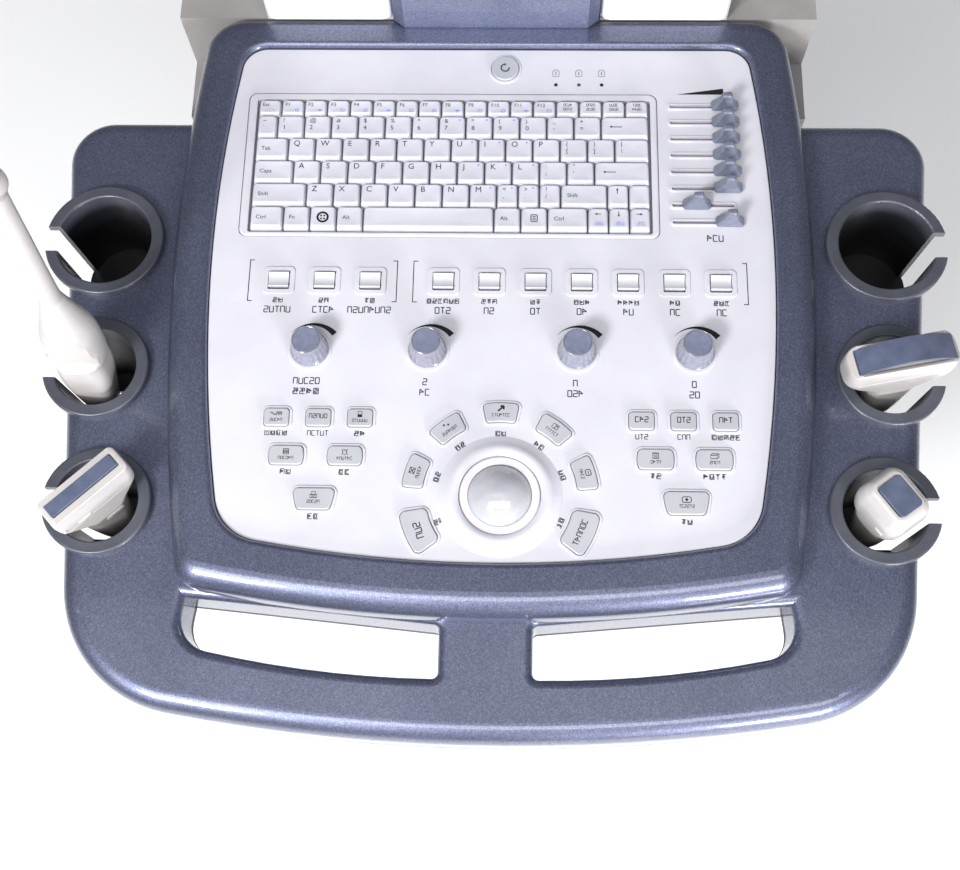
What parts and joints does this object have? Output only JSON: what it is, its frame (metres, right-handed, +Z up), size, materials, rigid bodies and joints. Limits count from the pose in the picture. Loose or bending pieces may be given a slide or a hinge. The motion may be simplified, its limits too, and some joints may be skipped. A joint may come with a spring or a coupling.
{
  "type": "ultrasound machine",
  "caption": "Ultrasound control console: wing deck with front handle, keyboard, paddles, knobs, sliders, trackball and probes in side cups.",
  "frame": {"origin": "centre of the lower face of the steel plate that stands on the trolley's column", "axes": "+X is the operator's right, +Y points away from the operator, +Z is up"},
  "size_m": [0.6356, 0.6214, 0.3073],
  "materials": {
    "metallic_blue": "metallic paint with fine sparkle",
    "underside_grey": "fine texture",
    "plate_steel": "zinc plated",
    "panel_white": "smooth satin",
    "keycap_white": "satin",
    "key_grey": "soft translucent",
    "ball_milk": "polished",
    "black_plastic": "moulded",
    "circuit_board": "solder mask",
    "cup_grey": "satin",
    "body_grey": "fine texture",
    "probe_white": "smooth satin",
    "lens_blue": "smooth silicone",
    "slider_blue": "satin",
    "knob_blue": "satin"
  },
  "bodies": {
    "console": {"deck_shell": "metallic_blue", "underside_cover": "underside_grey", "column_plate": "plate_steel", "console_bezel": "metallic_blue", "control_panel": "panel_white", "keyboard_frame": "panel_white", "trackball_ring": "panel_white", "trackball_housing": "black_plastic", "control_board": "circuit_board", "paddle_switches": "black_plastic", "knob_encoders": "plate_steel", "slider_pots": "plate_steel", "rear_cups": "cup_grey", "mid_cups": "cup_grey", "front_cups": "cup_grey", "rear_housing": "body_grey", "monitor_neck": "metallic_blue", "neck_covers": "panel_white", "screws": "plate_steel"},
    "depth_slider_1": {"depth_slider_1": "slider_blue"},
    "depth_slider_2": {"depth_slider_2": "slider_blue"},
    "depth_slider_3": {"depth_slider_3": "slider_blue"},
    "depth_slider_4": {"depth_slider_4": "slider_blue"},
    "depth_slider_5": {"depth_slider_5": "slider_blue"},
    "depth_slider_6": {"depth_slider_6": "slider_blue"},
    "depth_slider_7": {"depth_slider_7": "slider_blue"},
    "depth_slider_8": {"depth_slider_8": "slider_blue"},
    "paddle_1": {"paddle_1": "panel_white"},
    "paddle_2": {"paddle_2": "panel_white"},
    "paddle_3": {"paddle_3": "panel_white"},
    "paddle_4": {"paddle_4": "panel_white"},
    "paddle_5": {"paddle_5": "panel_white"},
    "paddle_6": {"paddle_6": "panel_white"},
    "paddle_7": {"paddle_7": "panel_white"},
    "paddle_8": {"paddle_8": "panel_white"},
    "paddle_9": {"paddle_9": "panel_white"},
    "paddle_10": {"paddle_10": "panel_white"},
    "value_knob": {"value_knob": "knob_blue"},
    "doppler_knob": {"doppler_knob": "knob_blue"},
    "colour_knob": {"colour_knob": "knob_blue"},
    "gain_knob": {"gain_knob": "knob_blue"},
    "probe_mode_keys": {"probe_mode_keys": "key_grey"},
    "report_keys": {"report_keys": "key_grey"},
    "print_key": {"print_key": "key_grey"},
    "scan_mode_keys": {"scan_mode_keys": "key_grey"},
    "store_keys": {"store_keys": "key_grey"},
    "freeze_key": {"freeze_key": "key_grey"},
    "arc_keys": {"arc_keys": "key_grey"},
    "set_key": {"set_key": "key_grey"},
    "cancel_key": {"cancel_key": "key_grey"},
    "power_button": {"power_button": "key_grey"},
    "keyboard_keys": {"keyboard_keys": "keycap_white"},
    "trackball": {"trackball": "ball_milk"},
    "linear_probe": {"linear_probe": "probe_white", "linear_lens": "lens_blue"},
    "convex_probe": {"convex_probe": "probe_white", "convex_lens": "lens_blue"},
    "micro_convex_probe": {"micro_convex_probe": "probe_white", "micro_convex_lens": "lens_blue"},
    "endocavity_probe": {"endocavity_probe": "probe_white"}
  },
  "joints": [
    {"name": "depth_slider_1_slide", "type": "slide", "parent": "console", "child": "depth_slider_1", "axis": [1, 0, 0], "range_m": [-0.0365, 0.0015]},
    {"name": "depth_slider_2_slide", "type": "slide", "parent": "console", "child": "depth_slider_2", "axis": [1, 0, 0], "range_m": [-0.0365, 0.0015]},
    {"name": "depth_slider_3_slide", "type": "slide", "parent": "console", "child": "depth_slider_3", "axis": [1, 0, 0], "range_m": [-0.0365, 0.0015]},
    {"name": "depth_slider_4_slide", "type": "slide", "parent": "console", "child": "depth_slider_4", "axis": [1, 0, 0], "range_m": [-0.0365, 0.0015]},
    {"name": "depth_slider_5_slide", "type": "slide", "parent": "console", "child": "depth_slider_5", "axis": [1, 0, 0], "range_m": [-0.0365, 0.0015]},
    {"name": "depth_slider_6_slide", "type": "slide", "parent": "console", "child": "depth_slider_6", "axis": [1, 0, 0], "range_m": [-0.0365, 0.0015]},
    {"name": "depth_slider_7_slide", "type": "slide", "parent": "console", "child": "depth_slider_7", "axis": [1, 0, 0], "range_m": [-0.014, 0.024]},
    {"name": "depth_slider_8_slide", "type": "slide", "parent": "console", "child": "depth_slider_8", "axis": [1, 0, 0], "range_m": [-0.0365, 0.0015]},
    {"name": "paddle_1_tilt", "type": "hinge", "parent": "console", "child": "paddle_1", "pos_m": [-0.1464, -0.0772, 0.104], "axis": [1, 0, 0], "range_deg": [-7, 7], "stiffness_Nm_per_rad": 0.06},
    {"name": "paddle_2_tilt", "type": "hinge", "parent": "console", "child": "paddle_2", "pos_m": [-0.1148, -0.0772, 0.104], "axis": [1, 0, 0], "range_deg": [-7, 7], "stiffness_Nm_per_rad": 0.06},
    {"name": "paddle_3_tilt", "type": "hinge", "parent": "console", "child": "paddle_3", "pos_m": [-0.0832, -0.0772, 0.104], "axis": [1, 0, 0], "range_deg": [-7, 7], "stiffness_Nm_per_rad": 0.06},
    {"name": "paddle_4_tilt", "type": "hinge", "parent": "console", "child": "paddle_4", "pos_m": [-0.0329, -0.0772, 0.104], "axis": [1, 0, 0], "range_deg": [-7, 7], "stiffness_Nm_per_rad": 0.06},
    {"name": "paddle_5_tilt", "type": "hinge", "parent": "console", "child": "paddle_5", "pos_m": [-0.0013, -0.0772, 0.104], "axis": [1, 0, 0], "range_deg": [-7, 7], "stiffness_Nm_per_rad": 0.06},
    {"name": "paddle_6_tilt", "type": "hinge", "parent": "console", "child": "paddle_6", "pos_m": [0.0303, -0.0772, 0.104], "axis": [1, 0, 0], "range_deg": [-7, 7], "stiffness_Nm_per_rad": 0.06},
    {"name": "paddle_7_tilt", "type": "hinge", "parent": "console", "child": "paddle_7", "pos_m": [0.0619, -0.0772, 0.104], "axis": [1, 0, 0], "range_deg": [-7, 7], "stiffness_Nm_per_rad": 0.06},
    {"name": "paddle_8_tilt", "type": "hinge", "parent": "console", "child": "paddle_8", "pos_m": [0.0935, -0.0772, 0.104], "axis": [1, 0, 0], "range_deg": [-7, 7], "stiffness_Nm_per_rad": 0.06},
    {"name": "paddle_9_tilt", "type": "hinge", "parent": "console", "child": "paddle_9", "pos_m": [0.1251, -0.0772, 0.104], "axis": [1, 0, 0], "range_deg": [-7, 7], "stiffness_Nm_per_rad": 0.06},
    {"name": "paddle_10_tilt", "type": "hinge", "parent": "console", "child": "paddle_10", "pos_m": [0.1567, -0.0772, 0.104], "axis": [1, 0, 0], "range_deg": [-7, 7], "stiffness_Nm_per_rad": 0.06},
    {"name": "value_knob_turn", "type": "hinge", "parent": "console", "child": "value_knob", "pos_m": [-0.122, -0.1286, 0.11], "axis": [0, 0, 1], "continuous": true},
    {"name": "doppler_knob_turn", "type": "hinge", "parent": "console", "child": "doppler_knob", "pos_m": [-0.0423, -0.1286, 0.11], "axis": [0, 0, 1], "continuous": true},
    {"name": "colour_knob_turn", "type": "hinge", "parent": "console", "child": "colour_knob", "pos_m": [0.0583, -0.1286, 0.11], "axis": [0, 0, 1], "continuous": true},
    {"name": "gain_knob_turn", "type": "hinge", "parent": "console", "child": "gain_knob", "pos_m": [0.1374, -0.1286, 0.11], "axis": [0, 0, 1], "continuous": true},
    {"name": "probe_mode_keys_press", "type": "slide", "parent": "console", "child": "probe_mode_keys", "axis": [0, 0, -1], "range_m": [0, 0.0015], "stiffness_N_per_m": 300, "springref_m": -0.0015},
    {"name": "report_keys_press", "type": "slide", "parent": "console", "child": "report_keys", "axis": [0, 0, -1], "range_m": [0, 0.0015], "stiffness_N_per_m": 300, "springref_m": -0.0015},
    {"name": "print_key_press", "type": "slide", "parent": "console", "child": "print_key", "axis": [0, 0, -1], "range_m": [0, 0.0015], "stiffness_N_per_m": 300, "springref_m": -0.0015},
    {"name": "scan_mode_keys_press", "type": "slide", "parent": "console", "child": "scan_mode_keys", "axis": [0, 0, -1], "range_m": [0, 0.0015], "stiffness_N_per_m": 300, "springref_m": -0.0015},
    {"name": "store_keys_press", "type": "slide", "parent": "console", "child": "store_keys", "axis": [0, 0, -1], "range_m": [0, 0.0015], "stiffness_N_per_m": 300, "springref_m": -0.0015},
    {"name": "freeze_key_press", "type": "slide", "parent": "console", "child": "freeze_key", "axis": [0, 0, -1], "range_m": [0, 0.0015], "stiffness_N_per_m": 300, "springref_m": -0.0015},
    {"name": "arc_keys_press", "type": "slide", "parent": "console", "child": "arc_keys", "axis": [0, 0, -1], "range_m": [0, 0.0015], "stiffness_N_per_m": 300, "springref_m": -0.0015},
    {"name": "set_key_press", "type": "slide", "parent": "console", "child": "set_key", "axis": [0, 0, -1], "range_m": [0, 0.0015], "stiffness_N_per_m": 300, "springref_m": -0.0015},
    {"name": "cancel_key_press", "type": "slide", "parent": "console", "child": "cancel_key", "axis": [0, 0, -1], "range_m": [0, 0.0015], "stiffness_N_per_m": 300, "springref_m": -0.0015},
    {"name": "power_button_press", "type": "slide", "parent": "console", "child": "power_button", "axis": [0, 0, -1], "range_m": [0, 0.0015], "stiffness_N_per_m": 300, "springref_m": -0.0015},
    {"name": "keyboard_keys_press", "type": "slide", "parent": "console", "child": "keyboard_keys", "axis": [0, 0, -1], "range_m": [0, 0.002], "stiffness_N_per_m": 3000, "springref_m": -0.002},
    {"name": "trackball_roll", "type": "hinge", "parent": "console", "child": "trackball", "pos_m": [0.008, -0.23, 0.0977], "axis": [1, 0, 0], "continuous": true},
    {"name": "linear_probe_lift", "type": "slide", "parent": "console", "child": "linear_probe", "axis": [0, 0, 1], "range_m": [0, 0.08]},
    {"name": "convex_probe_lift", "type": "slide", "parent": "console", "child": "convex_probe", "axis": [0, 0, 1], "range_m": [0, 0.08]},
    {"name": "micro_convex_probe_lift", "type": "slide", "parent": "console", "child": "micro_convex_probe", "axis": [0, 0, 1], "range_m": [0, 0.08]},
    {"name": "endocavity_probe_lift", "type": "slide", "parent": "console", "child": "endocavity_probe", "axis": [0, 0.165, 0.9863], "range_m": [0, 0.08]}
  ]
}
